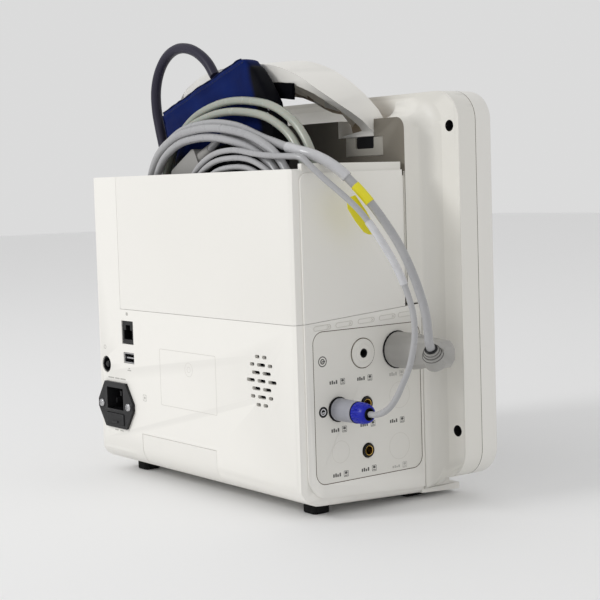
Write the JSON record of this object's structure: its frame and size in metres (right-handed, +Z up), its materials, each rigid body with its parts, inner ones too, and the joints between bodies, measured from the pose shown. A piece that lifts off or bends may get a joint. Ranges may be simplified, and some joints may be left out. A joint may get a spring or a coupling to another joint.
{
  "type": "patient monitor",
  "caption": "Bedside patient monitor with a flat display, side connector panel, rear mains inlet, folding carry handle and an open bin holding its cuff and cables.",
  "frame": {"origin": "centre of the overall footprint without the cords, on the plane of the feet's undersides", "axes": "+Z up, -Y the way the display faces, +X to the right of someone facing the display"},
  "size_m": [0.3661, 0.1683, 0.3352],
  "materials": {
    "shell": "satin moulded plastic",
    "panel": "satin moulded plastic",
    "key": "matt moulded plastic",
    "screen": "glossy dark window",
    "black": "matt black plastic",
    "rubber": "matt rubber",
    "steel": "bright plated steel",
    "brass": "polished brass",
    "board": "coated circuit board",
    "battery": "shrink-wrapped battery pack",
    "cable": "smooth soft jacket",
    "lead": "smooth translucent jacket",
    "plug": "satin over-moulded plastic",
    "collar": "satin blue plastic with a grey barrel",
    "hose": "smooth dark jacket",
    "cuff": "woven coated nylon",
    "lens": "diffusing lens"
  },
  "bodies": {
    "monitor": {"rear_shell": "shell", "storage_bin": "shell", "display_rear_housing": "shell", "handle_retainer_right": "shell", "handle_retainer_left": "shell", "front_bezel": "panel", "port_panel": "panel", "air_port": "panel", "screen_window": "screen", "speaker": "black", "mains_inlet": "black", "network_socket": "black", "ecg_socket": "black", "spo2_socket": "black", "foot_rear_right": "rubber", "foot_rear_left": "rubber", "foot_front_right": "rubber", "foot_front_left": "rubber", "housing_screw_1": "steel", "housing_screw_2": "steel", "housing_screw_3": "steel", "housing_screw_4": "steel", "handle_pin_right": "steel", "handle_pin_left": "steel", "lcd_module": "steel", "air_pump": "steel", "inlet_screw_1": "steel", "inlet_screw_2": "steel", "equipotential_stud": "steel", "usb_socket": "steel", "temp_jack_1": "brass", "temp_jack_2": "brass", "main_board": "board", "power_board": "board", "parameter_board": "board", "battery": "battery", "ecg_cable": "cable", "ecg_coil": "cable", "spo2_cable": "cable", "spo2_coil": "cable", "lead_cable": "lead", "lead_coil": "lead", "ecg_plug": "plug", "junction_block": "plug", "lead_plug": "plug", "spo2_sensor_plug": "plug", "hose_connector": "plug", "spo2_plug": "collar", "air_hose": "hose", "cuff": "cuff", "alarm_lens": "lens"},
    "handle_body": {"handle": "shell"},
    "knob_body": {"rotary_knob": "panel"},
    "power_key_body": {"power_key": "key"},
    "front_key_1_body": {"front_key_1": "key"},
    "front_key_2_body": {"front_key_2": "key"},
    "front_key_3_body": {"front_key_3": "key"},
    "front_key_4_body": {"front_key_4": "key"},
    "fuse_drawer_body": {"fuse_drawer": "black"},
    "battery_door_body": {"battery_door": "shell"}
  },
  "joints": [
    {"name": "handle_pivot", "type": "hinge", "parent": "monitor", "child": "handle_body", "pos_m": [0, -0.02615, 0.2525], "axis": [1, 0, 0], "range_deg": [0, 18]},
    {"name": "knob_turn", "type": "hinge", "parent": "monitor", "child": "knob_body", "pos_m": [0.121, -0.07515, 0.0535], "axis": [0, 1, 0], "continuous": true},
    {"name": "power_key_press", "type": "slide", "parent": "monitor", "child": "power_key_body", "axis": [0, 1, 0], "range_m": [0, 0.0015], "stiffness_N_per_m": 200},
    {"name": "front_key_1_press", "type": "slide", "parent": "monitor", "child": "front_key_1_body", "axis": [0, 1, 0], "range_m": [0, 0.0015], "stiffness_N_per_m": 200},
    {"name": "front_key_2_press", "type": "slide", "parent": "monitor", "child": "front_key_2_body", "axis": [0, 1, 0], "range_m": [0, 0.0015], "stiffness_N_per_m": 200},
    {"name": "front_key_3_press", "type": "slide", "parent": "monitor", "child": "front_key_3_body", "axis": [0, 1, 0], "range_m": [0, 0.0015], "stiffness_N_per_m": 200},
    {"name": "front_key_4_press", "type": "slide", "parent": "monitor", "child": "front_key_4_body", "axis": [0, 1, 0], "range_m": [0, 0.0015], "stiffness_N_per_m": 200},
    {"name": "fuse_drawer_pull", "type": "slide", "parent": "monitor", "child": "fuse_drawer_body", "axis": [0, 1, 0], "range_m": [0, 0.018]},
    {"name": "battery_door_pull", "type": "slide", "parent": "monitor", "child": "battery_door_body", "axis": [0, 1, 0], "range_m": [0, 0.06]}
  ]
}
